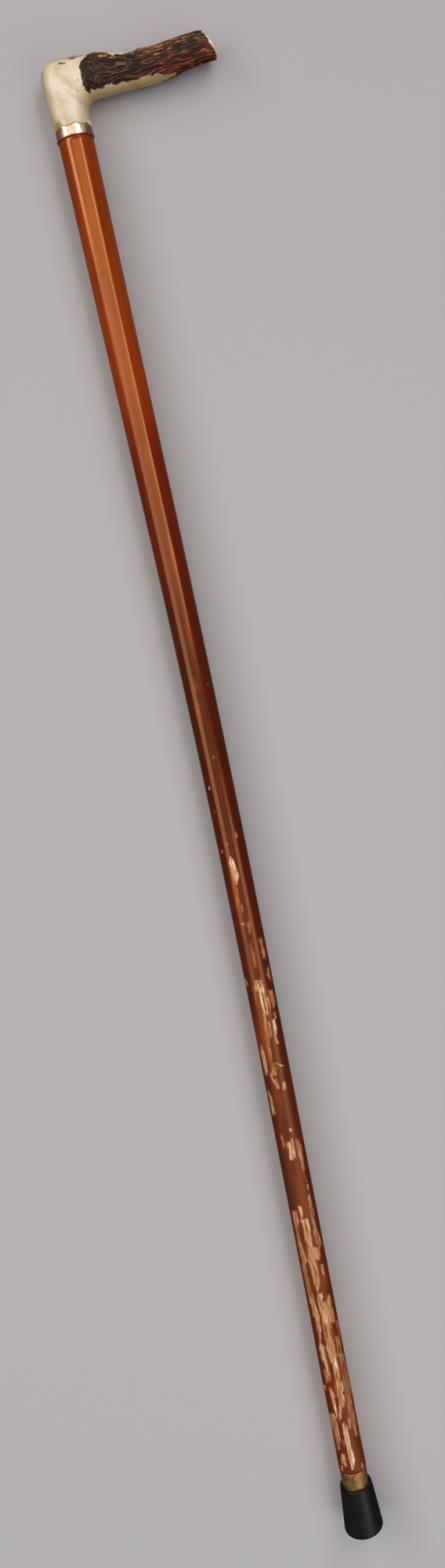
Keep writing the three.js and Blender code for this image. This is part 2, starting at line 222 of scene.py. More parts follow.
# The photograph's camera looks square at the stick and is turned about its own axis. It stands
# over a point up the stick from the middle of the picture, so the picture is shifted by as much.
camera = {
    "distance": 780.0,
    "pixelsPerMm": 2.1245,
    "pictureMiddle": (0.75, 454.06),  # mm across and up, in the stick's own plane
    "roll": 10.91,
    "rise": 113.0,
    "pictureTall": 2000,
    "sensor": 36.0,
}
roll = math.radians(camera["roll"])
cosRoll, sinRoll = math.cos(roll), math.sin(roll)
pixelShare = camera["pixelsPerMm"] / camera["pictureTall"]
cameraData = bpy.data.cameras.new("camera")
cameraData.sensor_width = camera["sensor"]
cameraData.lens = pixelShare * camera["distance"] * camera["sensor"]
cameraData.shift_y = -camera["rise"] * pixelShare
cameraObject = addObject("camera", cameraData)
turn = Matrix(((cosRoll, sinRoll, 0), (0, 0, -1), (-sinRoll, cosRoll, 0)))
overX = camera["pictureMiddle"][0] + camera["rise"] * sinRoll
overZ = camera["pictureMiddle"][1] + camera["rise"] * cosRoll
eye = Vector((overX, -camera["distance"], overZ)) * mm
cameraObject.matrix_world = Matrix.Translation(eye) @ turn.to_4x4()
bpy.context.scene.camera = cameraObject
bpy.context.scene.view_settings.view_transform = "Standard"
print("camera placed")

# Stage: the sheet of grey paper that the stick lies on. It is graded, darker at the head, where
# the lamps are strongest, and outside the photograph's frame it fades into the background. The
# stick's gloss shows it darker than it is. sheetBehind, from the stick's axis, and sheetHalf
# are in mm, the other lengths in metres.
stage = {
    "sheetBehind": 12.1,
    "sheetHalf": 4000.0,
    "footColour": "#C3C0C4",
    "headColour": "#ACA9AE",
    "headHeight": 0.9,
    # painted shade: in the stick's gloss the paper shows this darker colour, as if the stick's
    # shadow lay on it
    "mirroredShadeColour": "#504E4F",
    "fadeMiddle": (0, 0, 0.45),
    "fadeFrom": 0.6,
    "fadeTo": 1.3,
    "worldColour": "#B6B3B5",
    "worldLight": 0.09,
    "worldMirrored": 0.08,
}
# Softboxes: place, height of the point on the stick's axis that they aim at, size (m) and
# power (W). Those on the left and on the right make the two bright lines down the varnish, the
# front ones the glow between them, and farFill lights the far side.
lamps = {
    "leftHigh": ((-1.5, -1.2, 1.9), 0.8, (0.7, 1.2), 12.5),
    "rightHigh": ((0.93, -1.3, 1.9), 0.8, (0.9, 1.2), 13.0),
    "leftLow": ((-1.2, -1.25, 0.5), 0.5, (1.0, 1.65), 8.2),
    "rightMiddle": ((0.62, -1.45, 0.95), 0.9, (0.6, 0.85), 4.3),
    "rightLow": ((0.93, -1.3, -0.53), 0.1, (0.8, 1.45), 7.5),
    "frontLow": ((-0.05, -1.45, -0.2), 0.3, (0.9, 1.4), 1.35),
    "frontHigh": ((-0.24, -1.45, 1.2), 0.8, (1.0, 1.35), 6.0),
    "farFill": ((0.5, 2.0, 1.2), 0.5, (1.4, 1.8), 18.0),
}
lampColours = {"frontHigh": "#FFF3D0"}  # the others are white


def makeSheet():
    half, behind = stage["sheetHalf"] * mm, stage["sheetBehind"] * mm
    square = ((-half, -half), (half, -half), (half, half), (-half, half))
    corners = [(x, behind, z) for x, z in square]
    mesh = bpy.data.meshes.new("paperSheet")
    mesh.from_pydata(corners, [], [(0, 1, 2, 3)])
    addObject("paperSheet", mesh)
    material, add = newMaterial("mattGreyPaper")  # matt paper, seen from the front only
    mesh.materials.append(material)
    place = add("TexCoord").outputs["Object"]
    height = add("SeparateXYZ", {0: place}).outputs["Z"]
    grade = add("MapRange", {"From Max": stage["headHeight"], "Value": height})
    ends = {6: stage["footColour"], 7: stage["headColour"]}
    graded = add("Mix", {"data_type": "RGBA", 0: grade, **ends}).outputs[2]
    ray = add("LightPath")
    # painted shade in the reflections: glossy rays see the paper in the darker colour
    mirrored = {0: ray.outputs["Is Glossy Ray"], 6: graded, 7: stage["mirroredShadeColour"]}
    tone = add("Mix", {"data_type": "RGBA", **mirrored}).outputs[2]
    paper = add("BsdfDiffuse", {"Color": tone})
    fromMiddle = {"operation": "SUBTRACT", 0: place, 1: stage["fadeMiddle"]}
    fromMiddle = add("VectorMath", fromMiddle)
    away = add("VectorMath", {"operation": "LENGTH", 0: fromMiddle}).outputs["Value"]
    fade = {"From Min": stage["fadeFrom"], "From Max": stage["fadeTo"], "Value": away}
    faded = add("MapRange", {"interpolation_type": "SMOOTHSTEP", **fade})
    # it is clear from behind, for the light that passes it, and where it has faded
    hidden = add("NewGeometry").outputs["Backfacing"]
    for part in (ray.outputs["Is Shadow Ray"], faded):
        hidden = add("Math", {"operation": "MAXIMUM", 0: hidden, 1: part})
    mixed = add("MixShader", {0: hidden, 1: paper, 2: add("BsdfTransparent")})
    add("OutputMaterial", {"Surface": mixed})


# the camera sees a plain grey world, which lights the stick and shows in its gloss only faintly
def makeWorld():
    world = bpy.data.worlds.new("studio")
    world.use_nodes = True
    world.node_tree.nodes.clear()
    add = partial(addNode, world.node_tree)
    ray = add("LightPath")
    shown = add("Background", {"Color": stage["worldColour"], "Strength": 1.0})
    levels = {"To Min": stage["worldLight"], "To Max": stage["worldMirrored"]}
    strength = add("MapRange", {**levels, "Value": ray.outputs["Is Glossy Ray"]})
    light = add("Background", {"Color": "#FFFFFF", "Strength": strength})
    mixed = add("MixShader", {0: ray.outputs["Is Camera Ray"], 1: light, 2: shown})
    add("OutputWorld", {"Surface": mixed})
    bpy.context.scene.world = world


def makeLamps():
    for name, (place, aimHeight, size, power) in lamps.items():
        data = bpy.data.lights.new(name, "AREA")
        data.shape = "RECTANGLE"
        data.size, data.size_y = size
        data.energy = power
        data.color = hexColour(lampColours.get(name, "#FFFFFF"))[:3]
        lampObject = addObject(name, data)
        lampObject.location = place
        direction = Vector((0, 0, aimHeight)) - Vector(place)
        lampObject.rotation_euler = direction.to_track_quat("-Z", "Y").to_euler()


makeSheet()
makeWorld()
makeLamps()
print("stage set")

# Antler handle
handle = {
    "reach": 94.0,
    "rise": 49.3,
    "thick": 22.0,
    "turnRows": 66,
    "gripFrom": 0.37,
    "gripRows": 296,
    "sides": 248,
    "squareness": 2.25,
    "squaredAt": 0.3,
    "girth": 11.0,
    "neckRadius": 11.15,
    "spigotRadius": 10.35,
    "spigotFoot": 4.3,
    "crownGap": 0.22,
    "innerBevel": (0.25, 0.3),
    "outerBevel": (0.12, 0.15),
    "neckTop": 9.0,
    "neckSwell": 0.02,
    "noseDome": 2.1,
    "noseRows": 26,
}
# Bark on the grip. Cells of noise are in mm, two round the girth and one along the grip, and
# what a noise shifts is in mm at the start and at the rim, and in degrees at both long edges.
# Tan and red patches lie in a range round from the belly (degrees) and one across (mm).
bark = {
    "seed": 7,
    "stand": 0.3,
    "ridgeCell": (1.0, 1.0, 9.5),
    "ridgeHeight": 0.75,
    "knobCell": (1.15, 1.15, 1.6),
    "ridgesFrom": (17, 31),
    "middleCrest": 0.35,
    "swayCell": (6, 6, 10),
    "sway": 3.0,
    "swellCell": (4, 4, 12),
    "swell": 1.4,
    "raggedCell": (2.2, 2.2, 2.2),
    "raggedStart": 2.6,
    "raggedLow": 14,
    "raggedRubbed": 20,
    "raggedRim": 2.2,
    "scallopCell": (3.4, 3.4, 2.9),
    "scallopLow": 18,
    "rim": 0.5,
    "slopes": {"start": 0.5, "low": 2.6, "rubbed": 5, "rim": 0.4},
    "patchCell": (5, 5, 12),
    "tan": {"patchRound": 80, "round": (90, 124), "across": (17, 26)},
    "red": {"patchRound": 70, "round": (68, 110), "patchAcross": 44, "across": (42, 58)},
}
# Outline pairs up the neck, round the heel and along the grip. Each row gives the back of the
# handle, across and up, then the belly, across and up, then the thickness, in shares of the
# handle's reach, rise and thickness.
outlineShares = [
    (-0.12, 0.2, 0.118, 0.2, 1.01), (-0.121, 0.284, 0.118, 0.27, 1.01),
    (-0.126, 0.46, 0.124, 0.316, 1.02), (-0.13, 0.628, 0.131, 0.357, 1.03),
    (-0.133, 0.77, 0.138, 0.385, 1.04), (-0.122, 0.868, 0.145, 0.406, 1.04),
    (-0.095, 0.94, 0.154, 0.424, 1.03), (-0.047, 0.984, 0.166, 0.436, 1.02),
    (0.02, 0.997, 0.182, 0.446, 1.01), (0.1, 0.99, 0.205, 0.454, 1),
    (0.19, 0.975, 0.245, 0.46, 0.98), (0.3, 0.952, 0.32, 0.464, 0.95),
    (0.4, 0.917, 0.405, 0.474, 0.93), (0.483, 0.893, 0.485, 0.47, 0.91),
    (0.564, 0.893, 0.573, 0.483, 0.89), (0.645, 0.905, 0.66, 0.511, 0.87),
    (0.725, 0.923, 0.745, 0.546, 0.85), (0.805, 0.937, 0.836, 0.584, 0.83),
    (0.872, 0.951, 0.918, 0.604, 0.8), (0.928, 0.952, 0.999, 0.617, 0.77),
]
# where the bark starts: height above the collar's foot, and how far across (mm)
barkStart = [(20, 15), (24, 12.6), (27, 11), (38, 11), (41.5, 13), (45, 18), (49, 23)]
# its lower edge along the grip: how far across (mm), and degrees round from the belly
barkLowEdge = [(12, 36), (40, 36), (46, 40), (55, 37), (62, 25), (67, 6), (70, -20)]
# the strip on top where the bark is rubbed off: middle and half length (mm), its lower edge
# (degrees), and how far that edge rises towards its ends (degrees)
rubbedTop = {"middle": 36.0, "half": 11.5, "edge": 120.0, "rise": 40}
# yellow stains and brown pits of the horn: across, up, half sizes across and up (mm), strength
hornStains = [
    (-8.3, 8.4, 2.6, 2.6, 1.2), (-8.9, 7.0, 1.5, 0.9, 1.6), (-12, 40, 2.2, 7, 0.5),
    (10, 46.6, 5.5, 1.5, 1.0), (-1, 47.5, 7, 1.3, 0.5),
]
hornPits = [
    (8.8, 45.4, 2.2, 0.8, 1.0), (1.2, 43.6, 1.5, 0.7, 1.0), (3.6, 42.9, 0.8, 0.7, 1.0),
    (2.5, 43.0, 0.6, 0.5, 1.0), (7.6, 25.2, 0.35, 0.5, 1.0), (9.4, 31.0, 0.3, 1.1, 1.0),
]
collar = {
    "height": 7.1,
    "inner": 10.65,
    "wall": 0.4,
    "bead": 0.42,
    "beadRows": 9,
    "crownPoints": 8,
    "crownDepth": 1.1,
    "crownTurn": 10.0,
    "facetLean": 0.24,
    "facetFrom": 0.02,
    "facetRows": 30,
    "edgeRound": 0.06,
    "edgeDrop": 0.1,
    "insideRow": 3.0,
    "sides": 384,
}


# Share of the way from a crown point to the dip beside it, round the collar
def towardsDip(angle):
    pitch = 2 * math.pi / collar["crownPoints"]
    front = math.radians(collar["crownTurn"] - 90)
    return np.abs(np.mod(angle - front + pitch / 2, pitch) - pitch / 2) / (pitch / 2)


# Height of the crown's edge round the collar: between two points it dips by a round arc
def crownEdge(angle):
    halfPitch = (collar["inner"] + collar["wall"]) * math.pi / collar["crownPoints"]
    dipRadius = (halfPitch**2 + collar["crownDepth"] ** 2) / (2 * collar["crownDepth"])
    fromDip = halfPitch * (1 - towardsDip(angle))
    return collar["height"] - collar["crownDepth"] + dipRadius - np.sqrt(dipRadius**2 - fromDip**2)


# Sharp crests where a noise crosses its middle value: 1 on the crest, falling steeply to 0
def crestNoise(points, cell, seed):
    return np.clip(1 - np.abs(2 * layeredNoise(points, cell, seed, 2) - 1) * 2.6, 0, 1)


# Soft round spots, each at its strength in its middle, falling with the squared distance in
# half sizes
def spotField(across, up, spots):
    total = 0
    for at, height, halfAcross, halfUp, strength in spots:
        away = ((across - at) / halfAcross) ** 2 + ((up - height) / halfUp) ** 2
        total = np.maximum(total, strength * np.exp(-0.7 * away))
    return total


# Each section is a superellipse between the back and the belly of the outline. Bark is added
# outwards: ridges along the grip, knobs where it begins.
def makeHandle():
    sides, seed = handle["sides"], bark["seed"]
    angle = around(sides)
    turning = np.linspace(0, handle["gripFrom"], handle["turnRows"], endpoint=False)
    share = np.concatenate([turning, np.linspace(handle["gripFrom"], 1, handle["gripRows"])])
    sizes = [handle["reach"], handle["rise"], handle["reach"], handle["rise"], handle["thick"]]
    outline = curveThrough(outlineShares, share) * sizes
    back, belly = outline[:, 0:2], outline[:, 2:4]
    middle, reach = (back + belly) / 2, (belly - back) / 2
    squared = (handle["squareness"] - 2) * smooth(share, 0, handle["squaredAt"])
    power = 2 / (2 + squared)[:, None]
    waves = (np.cos(angle), np.sin(angle))
    cosine, sine = (np.sign(wave) * np.abs(wave) ** power for wave in waves)
    side = middle[:, None, :] + reach[:, None, :] * cosine[..., None]
    body = np.stack([side[..., 0], outline[:, 4:5] / 2 * sine, side[..., 1]], -1)
    across, up = body[..., 0], body[..., 2]

    # the grain's own place: round the girth, and straight along the middle line
    step = np.linalg.norm(np.diff(middle, axis=0), axis=1)
    length = np.concatenate([[0], np.cumsum(step)])
    ring = np.stack(waves, -1)
    shape = (len(share), sides)
    round3d = np.broadcast_to(handle["girth"] * ring, shape + (2,))
    grain = np.concatenate([round3d, np.broadcast_to(length[:, None, None], shape + (1,))], -1)

    # where bark is: ragged by noises, and left off a rim before the cut end
    ragged = layeredNoise(grain, bark["raggedCell"], seed, 3) - 0.5
    fromBelly = np.degrees(np.arccos(np.cos(angle)))[None, :]
    start = np.interp(up, *zip(*barkStart)) + bark["raggedStart"] * ragged
    scallops = layeredNoise(grain, bark["scallopCell"], seed + 60, 2) - 0.5
    low = np.interp(across, *zip(*barkLowEdge)) + bark["raggedLow"] * ragged
    low = low + bark["scallopLow"] * scallops
    fromRubbed = (across - rubbedTop["middle"]) / rubbedTop["half"]
    rubbed = rubbedTop["edge"] + rubbedTop["rise"] * fromRubbed**2 + bark["raggedRubbed"] * ragged
    rim = bark["rim"] + bark["raggedRim"] * ragged
    toNose = (length[-1] - length)[:, None]
    slopes = bark["slopes"]
    covered = smooth(across, start, start + slopes["start"])
    covered = covered * smooth(fromBelly, low, low + slopes["low"])
    covered = covered * (1 - smooth(fromBelly, rubbed, rubbed + slopes["rubbed"]))
    covered = covered * smooth(toNose, rim, rim + slopes["rim"])

    # ridges sway round the girth; knobs blend into them along the first part of the grip
    sway = (layeredNoise(grain, bark["swayCell"], seed + 20, 2) - 0.5)[..., None]
    swayed = grain + sway * np.array([bark["sway"], bark["sway"], 0])
    ridges = crestNoise(swayed, bark["ridgeCell"], seed + 3)
    knobs = crestNoise(swayed, bark["knobCell"], seed + 9)
    toRidges = smooth(across, *bark["ridgesFrom"])
    crest = ridges * toRidges + knobs * (1 - toRidges)
    swell = layeredNoise(grain, bark["swellCell"], seed + 40, 2) - 0.5
    relief = bark["stand"] + bark["ridgeHeight"] * (crest - bark["middleCrest"])
    relief = relief + bark["swell"] * swell
    sidewards = handle["girth"] * np.sin(angle) + 0 * across
    outwards = [reach[:, :1] * np.cos(angle), sidewards, reach[:, 1:] * np.cos(angle)]
    outwards = np.stack(outwards, -1)
    outwards = outwards / np.linalg.norm(outwards, axis=-1, keepdims=True)
    body = body + outwards * (covered * relief)[..., None]

    # worn tan crests near the top of the grip, red-brown below towards the nose
    patch = layeredNoise(grain, bark["patchCell"], seed + 50, 2) - 0.5
    spread = bark["tan"]
    tan = smooth(fromBelly + spread["patchRound"] * patch, *spread["round"])
    tan = tan * smooth(across, *spread["across"])
    spread = bark["red"]
    red = smooth(across + spread["patchAcross"] * patch, *spread["across"])
    red = red * (1 - smooth(fromBelly - spread["patchRound"] * patch, *spread["round"]))

    # the cut end swells in rings that follow a quarter of an ellipse
    cut = back[-1] - belly[-1]
    out = np.array([cut[1], 0, -cut[0]]) / np.linalg.norm(cut)
    turn = np.linspace(0, np.pi / 2, handle["noseRows"] + 2)[1:-1]
    centre = np.array([middle[-1, 0], 0, middle[-1, 1]])
    nose = centre + (body[-1] - centre)[None] * np.cos(turn)[:, None, None]
    nose = nose + out * (handle["noseDome"] * np.sin(turn))[:, None, None]

    # the neck runs down to the crown's edge, then steps in to the spigot inside the collar
    edge = crownEdge(angle) + handle["crownGap"]
    inside, outside = handle["spigotRadius"], handle["neckRadius"]
    (innerWide, innerTall), (wide, tall) = handle["innerBevel"], handle["outerBevel"]
    rows = [(inside, handle["spigotFoot"]), (inside, edge - innerTall), (inside + innerWide, edge)]
    rows += [(outside - wide, edge), (outside, edge + tall)]
    rows += [(outside + handle["neckSwell"], (edge + handle["neckTop"]) / 2)]
    neck = turned(rows, sides)

    # the fields of the neck and of the cut end carry on from the rows beside them
    def onAll(field, atNeck=0.0, atNose=0.0):
        low, high = np.full((len(neck), sides), atNeck), np.full((len(nose), sides), atNose)
        return np.concatenate([low, field, high])

    everyPoint = np.concatenate([neck, body, nose])
    onFront = everyPoint[..., 1] < 0
    spotsAcross = np.concatenate([neck[..., 0], across, nose[..., 0]])
    spotsUp = np.concatenate([neck[..., 2], up, nose[..., 2]])
    grainNeck = neck - np.array([0, 0, 10.0])
    inwards = np.stack([np.cos(turn), np.cos(turn), np.ones_like(turn)], -1)
    grainNose = (grain[-1] + np.array([0, 0, 1.0]))[None] * inwards[:, None, :]
    cutShare = np.repeat((1 - np.cos(turn))[:, None], sides, 1)
    fields = {
        "bark": onAll(covered),
        "crest": onAll(crest),
        "tan": onAll(tan),
        "red": onAll(red),
        "stain": spotField(spotsAcross, spotsUp, hornStains) * onFront,
        "pit": spotField(spotsAcross, spotsUp, hornPits) * onFront,
        "cut": np.concatenate([np.zeros((len(neck) + len(share), sides)), cutShare]),
        # sideways: yellower, darker horn towards the belly and the back, partly the horn's own tone
        # and partly painted shade on the belly
        "sideways": onAll(np.where(cosine > 0, cosine, -0.8 * cosine), 0.5, 0.5),
        "grain": np.concatenate([grainNeck, grain, grainNose]),
    }
    piece = gridMesh("antlerHandle", onHead(everyPoint), fields)
    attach(piece, "stick")
    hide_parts("antler_handle")
    return piece


# Stag antler, ground smooth and buffed, with its bark left on the grip. The polished horn is
# cream with soft clouds and a satin gloss, with a few pits, and yellower and darker at the sides:
# partly the horn's own tone, partly painted shade on the belly, which the lamps light less; the
# bark is a dark, waxed relief, tan where its crests are worn and red-brown where it is thin.
def antlerMaterial():
    material, add = newMaterial("polishedStagAntler")
    fields = {}
    for title in ("grain", "bark", "crest", "tan", "red", "stain", "pit", "cut", "sideways"):
        node = add("Attribute", {"attribute_name": title})
        fields[title] = node.outputs["Vector" if title == "grain" else "Fac"]
    inGrain = {"Vector": fields["grain"]}

    # clouds about 9 mm across, and fine streaks 0.8 by 7 mm along the horn
    clouds = add("TexNoise", {"Scale": 1 / 9.0, "Detail": 3.0, "Roughness": 0.55, **inGrain})
    creams = [(0.3, "#C6AC87"), (0.46, "#D5C2A6"), (0.62, "#E0D5C4")]
    horn = add("ValToRGB", {0: clouds, "stops": creams})
    stretched = add("Mapping", {"Scale": (1 / 0.8, 1 / 0.8, 1 / 7), **inGrain})
    streaks = add("TexNoise", {"Scale": 1.0, "Detail": 2.0, "Vector": stretched})
    streaked = {"From Min": 0.55, "From Max": 0.8, "To Max": 0.2, "Value": streaks}
    # the sides' tone is partly painted shade, strongest on the belly
    sides = {"From Min": 0.45, "From Max": 1.0, "To Max": 0.8, "Value": fields["sideways"]}
    stainPart = add("Math", {"operation": "MULTIPLY_ADD", 0: clouds, 1: 1.3, 2: fields["stain"]})
    stains = {"From Min": 0.55, "From Max": 1.5, "To Max": 0.9, "Value": stainPart}
    stained = {"operation": "MULTIPLY", 0: add("MapRange", stains), 1: fields["stain"]}
    pits = {"From Min": 0.3, "From Max": 0.8, "Value": fields["pit"]}

    # bark: flecks of 0.9 mm break up the crests
    flecks = add("TexNoise", {"Scale": 1 / 0.9, "Detail": 3.0, **inGrain})
    flecked = {"operation": "MULTIPLY_ADD", 0: flecks, 1: 0.7, 2: fields["crest"]}
    height = add("Math", {"operation": "SUBTRACT", 0: add("Math", flecked), 1: 0.35})
    darks = [(0.0, "#0E0504"), (0.4, "#24100A"), (0.75, "#402316"), (1.0, "#6C4528")]
    reds = [(0.0, "#140604"), (0.48, "#401707"), (0.82, "#783414"), (1.0, "#A8642E")]
    tans = [(0.0, "#150A06"), (0.5, "#38190B"), (0.78, "#7C4A20"), (1.0, "#C89C6A")]
    skin = add("ValToRGB", {0: height, "stops": darks})
    for mask, stops in ((fields["red"], reds), (fields["tan"], tans)):
        above = add("ValToRGB", {0: height, "stops": stops})
        skin = add("Mix", {"data_type": "RGBA", 0: mask, 6: skin, 7: above}).outputs[2]

    # the cut end: a pale rim round a porous brown middle
    pores = add("TexNoise", {"Scale": 1 / 0.8, "Detail": 3.0, **inGrain})
    core = add("ValToRGB", {0: pores, "stops": [(0.4, "#6A4A2E"), (0.6, "#C7A777")]})
    coreEdge = {"From Min": 0.16, "From Max": 0.3, "Value": fields["cut"]}

    # all layers over the plain horn, each with its mask
    layers = [
        (add("MapRange", streaked), "#AE9870"),
        (add("MapRange", sides), "#B08C50"),
        (add("Math", stained), "#A07A3C"),
        (add("MapRange", pits), "#5E4628"),
        (fields["bark"], skin),
        (add("MapRange", {"interpolation_type": "SMOOTHSTEP", **coreEdge}), core),
    ]
    colour = horn
    for mask, above in layers:
        colour = add("Mix", {"data_type": "RGBA", 0: mask, 6: colour, 7: above}).outputs[2]

    rough = add("MapRange", {"To Min": 0.34, "To Max": 0.55, "Value": fields["bark"]})
    strength = {"operation": "MULTIPLY_ADD", 0: fields["bark"], 1: 0.5, 2: 0.05}
    relief = {"Distance": 0.0004, "Height": flecks, "Strength": add("Math", strength)}
    settings = {"Base Color": colour, "Roughness": rough, "Specular IOR Level": 0.3}
    return finishMaterial(material, {**settings, "Normal": add("Bump", relief)})


handlePiece = makeHandle()
handlePiece.data.materials.append(antlerMaterial())
print("handle made:", len(handlePiece.data.polygons), "faces")


# A thin shell: down the outside from the crown, round the rolled bead and up the inside. The
# outside is bright cut: from each point two straight edges run down to the foot under the
# dips, and the face beyond each edge leans in by a share of how far it lies past the edge.
def makeCollar():
    angle = around(collar["sides"])
    inner, bead, edge = collar["inner"], collar["bead"], crownEdge(angle)
    outer = inner + collar["wall"]
    edgeRound, edgeDrop = collar["edgeRound"], collar["edgeDrop"]
    rows = []
    for turn in np.linspace(-np.pi / 2, np.pi / 2, collar["beadRows"]):
        rows.append((outer + bead * np.cos(turn), bead * (1 + np.sin(turn))))
    for share in np.linspace(collar["facetFrom"], 1, collar["facetRows"]):
        past = np.clip(towardsDip(angle) + share - 1, 0, 1)
        height = 2 * bead + (edge - edgeDrop - 2 * bead) * share
        rows.append((outer - collar["facetLean"] * past, height))
    rows += [(rows[-1][0] - edgeRound, edge), (inner + edgeRound, edge), (inner, edge - edgeDrop)]
    rows += [(inner, collar["insideRow"]), (inner, edgeDrop), (inner + edgeDrop, 0)]
    piece = gridMesh("crownCollar", onHead(turned(rows, collar["sides"])), ring=True)
    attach(piece, "stick")
    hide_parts("gold_collar")
    return piece


# Rolled gold on brass, bright-cut and polished: pink-gold, its reflections softened by wear
goldTints = [(0.35, "#DBA78E"), (0.62, "#F6D6C4")]
rolledGold = metalMaterial("rolledRoseGold", 1.5, 3.0, goldTints, (0.28, 0.42), bump=0.08)
makeCollar().data.materials.append(rolledGold)
print("collar made")

# Malacca shaft. Its bare places are a field in mm, over 0 inside them and never under outside.
shaft = {
    "foot": 37.7,
    "diameters": (16.3, 16.5, 17.25, 19.1, 21.2),
    "sides": 144,
    "fineRow": 0.75,
    "fineBelow": 425.0,
    "coarseRow": 3.6,
    "endRow": 0.25,
    "ridgeHeight": 0.55,
    "ridgeLength": 430.0,
    "ridgeBearing": -75.0,
    "ridgeHalfWidth": 32.0,
    "creaseDepth": 0.12,
    "creaseHalfWidth": 3.2,
    "creaseFades": (545, 575),
    "tenonRadius": 7.0,
    "tenonLength": 20,
    "spigotRadius": 10.35,
    "spigotTop": 854.0,
    "topGap": 0.3,
    "footEdge": 0.25,
    "headEdge": 0.2,
    "chipHalf": 0.5,
    "chipStretch": 1.1,
    "outside": -2.0,
}
# The far side is worn alike, without single flakes having been seen there: bare where a noise
# 2.4 mm across and 20 mm along lies over an edge that rises up the cane (by, from, to). It
# begins where the sine of the bearing is in fromFront.
farWear = {
    "cell": (2.4, 2.4, 20.0),
    "seed": 41,
    "edge": 0.5,
    "edgeRises": ((0.12, 70, 240), (0.3, 240, 430)),
    "steepness": 9,
    "deepest": 1.5,
    "fromFront": (-0.36, -0.12),
    "paleCell": (3, 3, 12),
    "paleSeed": 55,
    "thinFrom": (0.5, 0.75),
    "thinMost": 0.5,
}
